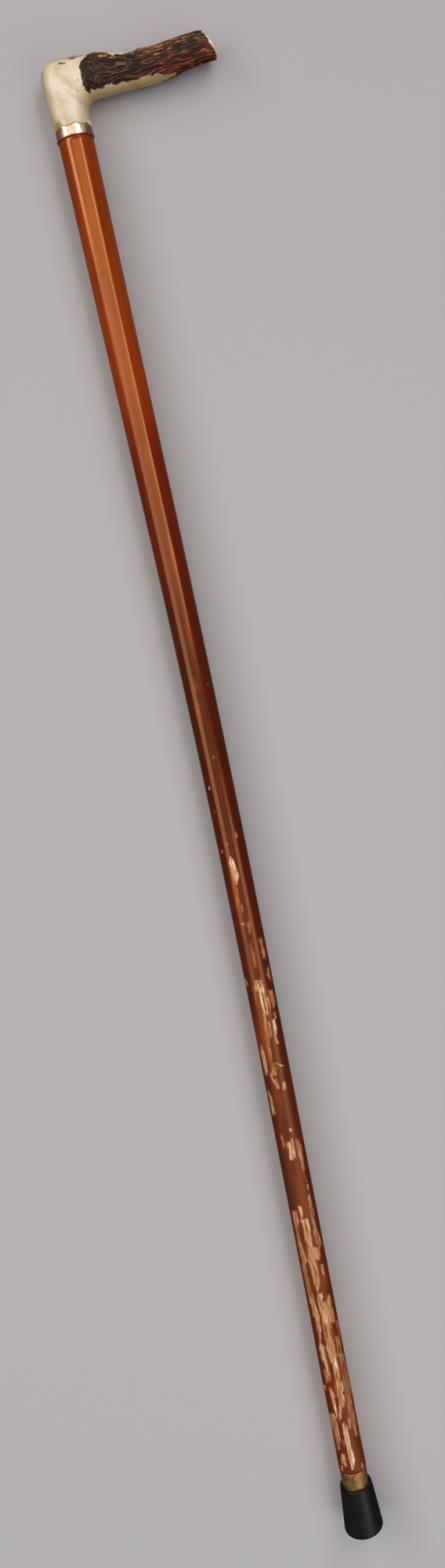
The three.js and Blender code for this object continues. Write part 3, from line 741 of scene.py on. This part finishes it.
# Strips of lost lacquer on the front, placed as the picture shows them: lower and upper
# end, how far across their middle is at each end, their width at each end (mm), and how pale
# the bare cane is
flakes = [
    (35.4, 41, 0.1, 0.4, 1.2, 3.7, 1), (41, 63, 0.6, 0.1, 3.4, 2.2, 1),
    (38.3, 44.7, -3.9, -4, 1, 1.6, 0.9), (40.6, 43.4, -4.9, -5, 1.8, 1, 0.8),
    (52.8, 64.4, -4.6, -4.4, 0.9, 1.2, 0.9), (49.2, 70, -5.7, -6.7, 1.4, 2.4, 0.2),
    (54.8, 64, 5.7, 5.5, 1.4, 2.6, 0.4), (64, 80, 5.4, 5.2, 2.8, 3.4, 0.3),
    (36.3, 38.3, -6.4, -6.3, 0.9, 1.1, 0.6), (35.2, 37.8, 5.9, 6, 1.2, 1, 0.5),
    (66, 74.5, -1.7, 0.2, 0.7, 2.4, 0.7), (73.5, 80, 1, 1.6, 3, 4.2, 0.9),
    (66.5, 80, -3.2, -3.6, 0.6, 1.6, 0.8), (66.6, 70, -4.7, -5.1, 0.9, 1.6, 1),
    (60, 66, 2.9, 3.3, 1, 1.6, 0.1), (51, 53, -2.1, -2, 0.7, 0.8, 0.7),
    (80, 85.5, -3.4, -3.9, 2.2, 1.8, 0.9), (80, 88, 0.8, 0.6, 4, 3.2, 0.1),
    (82.5, 88, 3.2, 3.3, 1.2, 1.8, 0.9), (85.4, 87.3, -7, -7, 0.8, 0.6, 0.7),
    (80, 104, 6, 6.1, 3.2, 2.4, 0.1), (88, 97, 1.4, 1.7, 3, 3.2, 0.8),
    (97, 105, 1.7, 0.8, 3, 4.4, 0.9), (105, 130, 1, 1.2, 5, 5, 0.4),
    (90.8, 103, -3.6, -3.8, 1.8, 2.2, 0.9), (89.9, 96.5, -5, -5.5, 1.6, 0.7, 0),
    (103, 110, -4.3, -4.6, 2.7, 3.3, 0.8), (110, 113.8, -4.6, -4.8, 3.3, 0.6, 0.8),
    (113.6, 130, -4.6, -3.6, 0.5, 2.8, 0.8), (103.5, 115.5, 5.3, 6, 2, 2.2, 0.4),
    (123.7, 130, 4.7, 4.8, 2.8, 2.8, 0.5), (116, 124, 7.2, 7.1, 0.6, 0.8, 0.5),
    (130, 137.2, 2.8, 2.8, 6.4, 6.2, 0.7), (130, 142.1, -0.8, 0.4, 1.4, 2.6, 0.8),
    (136.8, 140.6, 5.2, 5.4, 2.2, 1.3, 0.5), (130, 141, -4.1, -4.9, 3, 2.6, 0.5),
    (141, 152, -4.9, -5.6, 2.2, 1.8, 0.2), (152, 162.5, -5.8, -5.6, 1.8, 2.1, 0.3),
    (162.3, 173, -4.6, -5.5, 3.3, 2.1, 0.4), (173, 180, -5.7, -5.7, 1.8, 1.5, 0.3),
    (144, 148.9, -0.4, 0.1, 0.5, 2.9, 0.6), (148.8, 164, 0.1, -0.1, 3.3, 4.4, 0.5),
    (164, 173, -0.4, 0, 4, 3.5, 0.5), (163.5, 170, 3.1, 3.2, 3, 4.2, 0.5),
    (173, 187.8, 0.1, -0.2, 3.4, 3.9, 0.7), (187.6, 189.3, -1.7, -1.9, 1.4, 0.6, 0.6),
    (172.3, 180, 4.8, 4.6, 1.5, 1.9, 0.4), (171.2, 179, 6.4, 5.7, 0.8, 1.2, 0.6),
    (153.6, 158.8, 4.6, 4.8, 1, 1.2, 0.5), (180, 196.3, 4.9, 4.9, 1.7, 1.7, 0.2),
    (180, 186, -5.6, -5.4, 1.8, 2.4, 0.4), (186, 193.3, -5.2, -5.3, 2.6, 2.7, 0.6),
    (190.2, 196, -1.3, -1.6, 1, 1.8, 0.8), (197.2, 202.4, 5.1, 5, 1.5, 1.3, 0.5),
    (205, 207.5, 5.1, 5.1, 0.7, 0.9, 1), (210.8, 215.6, 5.2, 4.4, 0.5, 0.6, 0.1),
    (216.8, 224, 4.8, 5, 0.6, 1.9, 0.5), (224, 235.5, 5, 4.6, 1.9, 2, 0.5),
    (225.3, 235, -0.8, -0.9, 2.2, 2.4, 0.9), (226, 236.8, 0.8, 1.3, 2, 1.2, 0.6),
    (233.8, 240, -3.7, -4.4, 1.3, 0.5, 0.2), (241.8, 242.7, 2.1, 2.1, 1, 1, 1),
    (253.6, 262, -6.2, -6.3, 1.6, 1.4, 0.6), (262, 267.4, -6.3, -7, 1.4, 0.7, 0.5),
    (267.4, 271.1, 3.2, 3, 1.9, 1.3, 0.8), (268.4, 273.6, -0.8, -1.8, 1.5, 2, 0.8),
    (274.5, 277.5, -3.2, -3.4, 0.7, 1.2, 0.8), (276.6, 283.5, -1, -1.2, 2.6, 2.4, 0.2),
    (276.7, 279.4, -0.4, -0.4, 1, 1.1, 1), (277.9, 281, -6.2, -6.2, 0.9, 1.3, 0.6),
    (280, 292, -5.7, -6, 1.6, 2.3, 0.5), (292, 295.6, -6.3, -6, 2, 1.2, 0.6),
    (285, 299, -1.8, -1.6, 1.4, 2, -0.25), (281.4, 282.9, 3.9, 1.4, 1.8, 1, 1),
    (282.2, 283.3, -0.5, -0.6, 0.6, 0.6, 1), (300, 308, -0.4, -0.5, 3.4, 3.9, 0.3),
    (297, 300.2, -1.2, -0.9, 1.4, 3, 0.2), (308, 313.5, -0.3, -0.6, 2.4, 1.4, 0.5),
    (313.3, 334, 0.4, 0.5, 3, 3.4, 1.0), (295.5, 302, 4, 3.7, 0.9, 1.2, 1.4),
    (302, 309, 4, 4.2, 1.4, 1.5, 1.4), (310.2, 313.2, 5.7, 5.8, 0.7, 0.9, 1),
    (316.6, 323.3, 3.9, 3.2, 0.6, 1.8, 0.9), (316.7, 319.2, 5.8, 6, 0.6, 2.2, 0.2),
    (319, 326.5, 6, 5.8, 2.3, 2, 0.2), (320.6, 330, -3.6, -3.6, 1.3, 1.5, -0.2),
    (328.3, 334, -1.9, -0.8, 2.2, 3.4, 0.6), (333, 336, 6.9, 6.4, 0.5, 1.2, 0.5),
    (336, 339.9, 6.1, 6.8, 1.5, 0.5, 0.5), (333, 336, -7.5, -7.6, 0.6, 0.5, 0.7),
    (343, 351, -0.4, 0.1, 1.4, 2, -0.4), (351, 356.7, -0.5, -0.4, 1, 0.7, -0.4),
    (347, 350, 5.8, 6.1, 0.7, 1.5, 0.5), (350, 358.2, 6.2, 5.8, 1.6, 1.3, 0.2),
    (363.5, 369.4, 0.3, 0.8, 0.9, 1.6, 0), (369.3, 369.35, -2.4, -2.4, 3.2, 3.2, 0.6),
    (376.7, 380, -1.4, -2.5, 1, 3.2, -0.1), (380, 399, -2.7, -2.6, 2.4, 1.1, -0.2),
    (393.2, 398, -1.5, -0.9, 0.7, 3.2, 1.2), (398, 407, -1, -1.8, 4, 2.8, 1.2),
    (407, 410.3, -2, -1.9, 2.6, 0.6, 1.2), (421.4, 424.5, 4.3, 4.3, 0.8, 0.7, 0.2),
]
# lacquer left standing inside them, in the same way
islands = [
    (62.8, 67, 0.9, 1.2, 1.2, 4.4), (67, 74, 1.3, 3, 4.6, 0.4), (70.5, 79, -5.6, -6.3, 1, 1.6),
    (76.5, 80, -1.5, -1.7, 1.2, 2.2), (71.5, 77.5, 4.2, 4.3, 0.4, 0.6),
    (90.5, 100, -1.3, -0.9, 1.6, 2.6), (100, 106, -1.6, -2.1, 1.8, 0.6),
    (105, 130, -2.2, -1.9, 0.8, 0.6), (115.3, 124, 5.9, 5.2, 1.2, 3),
    (96.5, 109, 4.3, 3.2, 0.9, 0.5), (105.5, 112, 5.9, 5.6, 0.9, 0.6),
    (85.4, 90, -2.8, -2.4, 3, 3.8), (151.2, 162.2, -3.4, -3.3, 2.2, 2.1),
    (137.2, 142, 2.9, 2.9, 2.2, 1.8), (130, 137, -2.1, -2, 0.9, 1.2), (82, 100, 6.6, 6.4, 0.4, 0.4),
    (80.5, 82.5, 3, 3.2, 1.6, 1.2), (173, 180, 5.6, 5.4, 0.3, 0.4), (395, 405, -0.2, -0.9, 0.4, 0.5),
    (398.5, 409, -1.6, -2.2, 0.5, 0.3), (316, 331, 0.9, 0.7, 0.3, 0.5),
]
# small chips: height, how far across the middle (mm), and how pale
chips = [
    (519, 0.7, 0), (514, 5.9, 0), (503, -1.4, 0.3), (491, -0.5, 0.3), (471, 0.1, 0), (455, -5.8, 1),
    (452.5, -5.8, 1), (448, 6.5, 0), (439, -5.8, 0.2), (436.5, -0.4, 0), (418, -2.4, 0.1),
    (414.5, -6.1, 0.4),
]
# places where the lacquer is rubbed thin and shows orange: across, height, half sizes (mm) and
# strength
thinPlaces = [
    (5.4, 46, 1.8, 9, 0.25), (5, 152, 1.2, 4, 0.7), (0.2, 203, 1.6, 14, 0.45),
    (-1, 262, 1.4, 6, 0.4), (-5.5, 300, 2.5, 12, 0.5), (-2, 318, 1.8, 14, 0.4),
    (-3, 388, 2.4, 12, 0.3), (-2.7, 500, 1.2, 6, 0.6), (-1.5, 515, 1.5, 3, 0.7),
    (1.3, 545, 1.4, 12, 0.5), (2, 594, 1, 9, 0.7), (0.5, 656, 2, 6, 0.4),
]


def shaftRadius(length):
    share = (length - shaft["foot"]) / (stickLine["reach"] - shaft["foot"])
    return curveThrough([[d] for d in shaft["diameters"]], np.clip(share, 0, 1))[..., 0] / 2


# How far each point lies inside the nearest strip, in mm, negative outside. A strip's middle and
# width change evenly from its lower end to its upper end, and the field rises less steeply from
# its ends. The last column goes along as a tone.
def stripField(strips, length, across):
    deepest = np.full(across.shape, shaft["outside"])
    tone = np.zeros(across.shape)
    for low, high, offLow, offHigh, wideLow, wideHigh, *pale in strips:
        share = np.clip((length - low) / (high - low), 0, 1)
        half = (wideLow + (wideHigh - wideLow) * share) / 2
        sideways = half - np.abs(across - offLow - (offHigh - offLow) * share)
        inside = np.minimum(sideways, np.minimum(length - low, high - length) * 0.6 + 0.2)
        tone = np.where(inside > deepest, pale[0] if pale else 0, tone)
        deepest = np.maximum(deepest, inside)
    return deepest, tone


# A tapering round cane on the stick's line. The rib adds a part of its height that grows
# with the square of the nearness to its crest, and a fine crease runs along the crest.
def makeShaft():
    top, endRow = stickLine["reach"] - shaft["topGap"], shaft["endRow"]
    fine = np.arange(shaft["foot"] + endRow, shaft["fineBelow"], shaft["fineRow"])
    coarse = np.arange(shaft["fineBelow"], top - endRow, shaft["coarseRow"])
    length = np.concatenate([fine, coarse, [top - endRow]])
    bearing = around(shaft["sides"])
    radius = shaftRadius(length)
    crest = math.radians(shaft["ridgeBearing"])
    fromRib = np.abs(np.mod(bearing - crest + np.pi, 2 * np.pi) - np.pi)
    rib = np.clip(1 - fromRib / math.radians(shaft["ridgeHalfWidth"]), 0, 1) ** 2
    crease = np.clip(1 - fromRib / math.radians(shaft["creaseHalfWidth"]), 0, 1)
    fade = smooth(length, stickLine["reach"] - shaft["ridgeLength"], stickLine["reach"])
    ribbed = radius[:, None] + shaft["ridgeHeight"] * fade[:, None] * rib
    creased = smooth(length, *shaft["creaseFades"])[:, None]
    reach = ribbed - shaft["creaseDepth"] * creased * crease
    middle, across = lineAt(length)[:2]
    grid = middle[:, None, :] + across[:, None, :] * (reach * np.cos(bearing))[..., None]
    grid[..., 1] += reach * np.sin(bearing)

    # How far across the front each point is; the far half is put out of the strips' reach. The
    # eye stands over a height of the cane, so a point that is nearer to it looks further away
    # from that height, by the share that its nearness is of the eye's distance.
    level = length[:, None] + 0 * bearing
    front = np.where(np.sin(bearing) < 0, radius[:, None] * np.cos(bearing), 99.0)
    nearness = -radius[:, None] * np.sin(bearing) / camera["distance"]
    aboveEye = level - camera["pictureMiddle"][1] - camera["rise"]
    seen = level + aboveEye * np.maximum(nearness, 0)
    bare, pale = stripField(flakes, seen, front)
    # the tone is blended over the strips and 0.4 mm round them, more along than across
    weight = (bare > -0.4) * 1.0
    pale = pale * weight
    for axis in (0, 0, 0, 1) * 16:
        pale = (np.roll(pale, 1, axis) + pale + np.roll(pale, -1, axis)) / 3
        weight = (np.roll(weight, 1, axis) + weight + np.roll(weight, -1, axis)) / 3
    pale = pale / np.maximum(weight, 1e-6)
    for height, off, tone in chips:
        along = (seen - height) / shaft["chipStretch"]
        inside = shaft["chipHalf"] - np.sqrt(along**2 + (front - off) ** 2)
        pale = np.where(inside > bare, tone, pale)
        bare = np.maximum(bare, inside)
    bare = np.minimum(bare, -stripField(islands, seen, front)[0])
    thin = spotField(front, seen, thinPlaces)

    # the far side
    round3d = radius[:, None, None] * np.stack([np.cos(bearing), np.sin(bearing)], -1)
    straight = np.concatenate([round3d, level[..., None]], -1)
    worn = layeredNoise(straight, farWear["cell"], farWear["seed"], 2)
    wearEdge = farWear["edge"]
    for rise, low, high in farWear["edgeRises"]:
        wearEdge = wearEdge + rise * smooth(level, low, high)
    farBare = (worn - wearEdge) * farWear["steepness"]
    farBare = np.clip(farBare, shaft["outside"], farWear["deepest"])
    far = smooth(np.sin(bearing), *farWear["fromFront"])
    farPale = layeredNoise(straight, farWear["paleCell"], farWear["paleSeed"], 1)
    pale = np.where(far > 0.5, farPale, pale)
    bare = np.maximum(bare, farBare * far + shaft["outside"] * (1 - far))
    thin = np.maximum(thin, far * smooth(worn, *farWear["thinFrom"]) * farWear["thinMost"])

    # ends: the foot's shoulder and tenon, and the shoulder and spigot under the collar
    foot, tenon, spigot = shaft["foot"], shaft["tenonRadius"], shaft["spigotRadius"]
    feet = [(foot - shaft["tenonLength"], tenon), (foot, tenon + 0.2)]
    feet.append((foot, float(radius[0]) - shaft["footEdge"]))
    heads = [(top, float(reach[-1].mean()) - shaft["headEdge"]), (top, spigot)]
    heads.append((shaft["spigotTop"], spigot))
    rings = []
    for at, ringRadius in feet + heads:
        place, sideways = lineAt(at)[:2]
        ring = place + sideways * (ringRadius * np.cos(bearing))[:, None]
        ring[:, 1] += ringRadius * np.sin(bearing)
        rings.append(ring)
    whole = np.concatenate([np.array(rings[:3]), grid, np.array(rings[3:])])

    # the ends' fields are those of the rows beside them
    fields = {"bare": bare, "pale": pale, "thin": thin, "straight": straight}
    for title, field in fields.items():
        low, high = np.repeat(field[:1], 3, 0), np.repeat(field[-1:], 3, 0)
        fields[title] = np.concatenate([low, field, high])
    piece = gridMesh("malaccaShaft", whole, fields)
    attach(piece, "stick")
    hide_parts("malacca_shaft")
    return piece


# Malacca cane under old spirit varnish: deep red-brown, darker below the middle, with long
# fibre streaks, a high gloss, orange where it is rubbed thin, and bare straw-coloured cane
# where it has flaked off along the fibres
def malaccaMaterial():
    material, add = newMaterial("varnishedMalacca")
    fields = {}
    for title in ("straight", "bare", "pale", "thin"):
        node = add("Attribute", {"attribute_name": title})
        fields[title] = node.outputs["Vector" if title == "straight" else "Fac"]
    straight, bare = fields["straight"], fields["bare"]

    # Noises: their cell across and along the cane in mm, and their detail. Fibre streaks lie
    # over clouds. The fibres of bare cane are finer than the picture can show, so they are
    # drawn 0.55 mm wide. Teeth are the flakes' ragged edges, and threads of lacquer are left
    # inside them.
    cells = {
        "fibres": (1.2, 60, 4.0),
        "clouds": (7, 45, 2.0),
        "bareFibres": (0.55, 9, 2.0),
        "teeth": (0.8, 4, 3.0),
        "threads": (1.0, 13, 3.0),
    }
    noises = {}
    for title, (wide, long, detail) in cells.items():
        cell = {"Scale": (1 / wide, 1 / wide, 1 / long), "Vector": straight}
        pattern = {"Scale": 1.0, "Detail": detail, "Vector": add("Mapping", cell)}
        noises[title] = add("TexNoise", pattern)

    # tones up the varnish, streaked
    height = add("SeparateXYZ", {0: straight}).outputs["Z"]
    along = add("Math", {"operation": "DIVIDE", 0: height, 1: stickLine["reach"]})
    browns = [(0.045, "#621402"), (0.12, "#5C1402"), (0.28, "#581502"), (0.42, "#561402")]
    browns += [(0.52, "#541401"), (0.62, "#4F1401"), (0.68, "#5F1701"), (0.77, "#701D01")]
    browns += [(0.835, "#903301"), (0.97, "#883301")]
    tone = add("ValToRGB", {0: along, "stops": browns})
    both = {"operation": "ADD", 0: noises["fibres"], 1: noises["clouds"]}
    gain = {"From Min": 0.7, "From Max": 1.3, "To Min": 0.74, "To Max": 1.26}
    gain = add("MapRange", {**gain, "Value": add("Math", both)})
    varnish = add("VectorMath", {"operation": "SCALE", 0: tone, "Scale": gain})
    # the edge of a flake is rubbed thin over 0.8 mm as well
    edge = add("MapRange", {"From Min": -0.9, "From Max": 0.1, "To Max": 0.6, "Value": bare})
    thin = add("Math", {"operation": "MAXIMUM", 0: edge, 1: fields["thin"]})
    rubbed = add("Math", {"operation": "MULTIPLY", 0: thin, 1: gain})
    coat = add("Mix", {"data_type": "RGBA", 0: rubbed, 6: varnish, 7: "#A03C08"}).outputs[2]

    # bare cane, and the mask with ragged edges that shows it
    fibre = add("Math", {"operation": "MULTIPLY_ADD", 0: noises["bareFibres"], 1: 2.2, 2: -0.85})
    strawTone = {"operation": "MULTIPLY_ADD", 0: fields["pale"], 1: 0.5, 2: fibre}
    straws = [(0.0, "#743A14"), (0.25, "#A86230"), (0.45, "#BE7E4C"), (0.65, "#C8956A")]
    straws += [(0.86, "#D2B28E"), (1.0, "#FFEEDA")]
    cane = add("ValToRGB", {0: add("Math", strawTone), "stops": straws})
    shallow = add("Math", {"operation": "MINIMUM", 0: bare, 1: 0.35})
    pushed = add("Math", {"operation": "MULTIPLY_ADD", 0: noises["teeth"], 1: 2.2, 2: shallow})
    cut = add("MapRange", {"From Min": 0.98, "From Max": 1.1, "Value": pushed})
    between = add("MapRange", {"From Min": 0.37, "From Max": 0.41, "Value": noises["threads"]})
    mask = add("Math", {"operation": "MULTIPLY", 0: cut, 1: between})
    colour = add("Mix", {"data_type": "RGBA", 0: mask, 6: coat, 7: cane}).outputs[2]

    # the gloss is dulled towards the foot, and bare cane is dull
    dulled = {"From Min": 0.5, "From Max": 0.2, "To Min": 0.2, "To Max": 0.55, "Value": along}
    dulled = add("MapRange", dulled)
    rough = add("MapRange", {"To Min": dulled, "To Max": 0.55, "Value": mask})
    # the varnish stands 0.15 mm over the cane
    sunk = add("Math", {"operation": "MULTIPLY", 0: mask, 1: -1.0})
    relief = {"Strength": 0.6, "Distance": 0.00015, "Height": sunk}
    settings = {
        "Base Color": colour,
        "Roughness": rough,
        "IOR": 1.6,
        "Specular IOR Level": 1.0,
        "Specular Tint": "#FFC088",
        "Normal": add("Bump", relief),
    }
    return finishMaterial(material, settings)


shaftPiece = makeShaft()
shaftPiece.data.materials.append(malaccaMaterial())
print("shaft made:", len(shaftPiece.data.polygons), "faces")


# Points of a round corner about (radius, height), from one angle to another
def corner(radius, height, size, start, end, steps):
    turn = np.radians(np.linspace(start, end, steps))
    return list(zip(radius + size * np.cos(turn), height + size * np.sin(turn)))


ferrule = {
    "low": 11.4,
    "high": 37.4,
    "lowDiameter": 15.0,
    "highDiameter": 16.0,
    "wall": 0.7,
    "edge": 0.2,
    "sides": 128,
}


def ferruleRadius(height):
    share = (height - ferrule["low"]) / (ferrule["high"] - ferrule["low"])
    wider = ferrule["highDiameter"] - ferrule["lowDiameter"]
    return (ferrule["lowDiameter"] + wider * share) / 2


def makeFerrule():
    low, high, wall, edge = (ferrule[key] for key in ("low", "high", "wall", "edge"))
    foot, top = ferruleRadius(low), ferruleRadius(high)
    profile = [(foot - wall, low), (foot - edge, low), (foot, low + edge)]
    profile += [(ferruleRadius(h), h) for h in np.linspace(low + 1, high - 1, 12)]
    profile += corner(top - edge, high - edge, edge, 0, 90, 5)
    profile += [(top - wall, high), (top - wall, high - 1)]
    piece = gridMesh("brassFerrule", turned(profile, ferrule["sides"]), ring=True)
    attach(piece, "stick")
    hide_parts("brass_ferrule")
    return piece


# Drawn brass tube, never polished again: dull and brown with age
brassTints = [(0.35, "#A07C4E"), (0.5, "#B48A58"), (0.65, "#C8A268")]
agedBrass = metalMaterial("agedDrawnBrass", 2.5, 4.0, brassTints, (0.45, 0.62), bump=0.1)
makeFerrule().data.materials.append(agedBrass)
print("ferrule made")

# Rubber tip
tip = {
    "height": 27.5,
    "footDiameter": 23.2,
    "mouthDiameter": 19.4,
    "floor": 6.0,
    "footRound": 1.8,
    "bulge": 2.4,
    "lip": 0.7,
    "flareDepth": 2.4,
    "flareWidth": 0.5,
    "treadDepth": 1.2,
    "treadPad": 3.4,
    "treadGroove": 1.5,
    "treadRing": 1.6,
    "treadEdge": 0.15,
    "clearance": 0.3,
    "sides": 160,
}


# the profile runs from the tread grooves round the outside and down into the socket
def makeTip():
    foot, mouth = tip["footDiameter"] / 2, tip["mouthDiameter"] / 2
    lip, high, bulge, rounding = (tip[key] for key in ("lip", "height", "bulge", "footRound"))
    deep, edge = tip["treadDepth"], tip["treadEdge"]
    profile = []
    for start in (tip["treadPad"], tip["treadPad"] + tip["treadGroove"] + tip["treadRing"]):
        end = start + tip["treadGroove"]
        profile += [(start - edge, 0), (start, edge), (start, deep)]
        profile += [(end, deep), (end, edge), (end + edge, 0)]
    profile += corner(foot - rounding, rounding, rounding, -88, 0, 12)
    profile += [(foot, bulge)]
    side = np.linspace(0, 1, 14)[1:-1]
    profile += [(foot + (mouth - foot) * s, bulge + (high - lip - bulge) * s) for s in side]
    profile += corner(mouth - lip, high - lip, lip, 0, 90, 8)
    bore = ferruleRadius(high) + tip["clearance"]
    lowBore = ferruleRadius(ferrule["low"]) + tip["clearance"]
    profile += [(bore + tip["flareWidth"], high), (bore, high - tip["flareDepth"])]
    profile += [(lowBore, ferrule["low"]), (lowBore, tip["floor"])]
    piece = gridMesh("rubberTip", turned(profile, tip["sides"]))
    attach(piece, "tip")
    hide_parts("rubber_tip")
    return piece


# Natural rubber filled with carbon black, moulded: matt and near black, with dusty patches of
# 6 mm and pits of 0.5 mm
def rubberMaterial():
    material, add = newMaterial("mouldedBlackRubber")
    place = {"Vector": add("TexCoord").outputs["Object"]}
    dust = add("TexNoise", {"Scale": 1 / (6 * mm), "Detail": 5.0, **place})
    pits = add("TexNoise", {"Scale": 1 / (0.5 * mm), "Detail": 2.0, **place})
    blacks = {0: dust, "stops": [(0.4, "#0A0A0C"), (0.75, "#161618")]}
    dulled = {"To Min": 0.32, "To Max": 0.55, "Value": dust}
    relief = {"Strength": 0.2, "Distance": 0.0001, "Height": pits}
    settings = {
        "Base Color": add("ValToRGB", blacks),
        "Roughness": add("MapRange", dulled),
        "Specular IOR Level": 0.3,
        "Normal": add("Bump", relief),
    }
    return finishMaterial(material, settings)


makeTip().data.materials.append(rubberMaterial())
print("rubber tip made")

# Mild steel, turned: the stud and the washer are plain grey, and their fine tool marks are
# drawn as soft patches of 0.8 mm
steelTints = [(0.35, "#7E8084"), (0.7, "#A9ABAE")]
turnedSteel = metalMaterial("turnedMildSteel", 0.8, 3.0, steelTints, (0.3, 0.5))
# Iron, worn on the ground: the end plug is darker and rougher
ironTints = [(0.35, "#4A4642"), (0.7, "#77726C")]
wornIron = metalMaterial("wornIron", 0.8, 3.0, ironTints, (0.4, 0.65))
carried = {
    "handle_stud": turnedSteel,
    "tip_washer": turnedSteel,
    "iron_end_plug": wornIron,
    "ferrule_pin_left": agedBrass,
    "ferrule_pin_right": agedBrass,
}
for nodeName, finish in carried.items():
    nodes[nodeName].data.materials.clear()
    nodes[nodeName].data.materials.append(finish)
print("inner pieces finished")
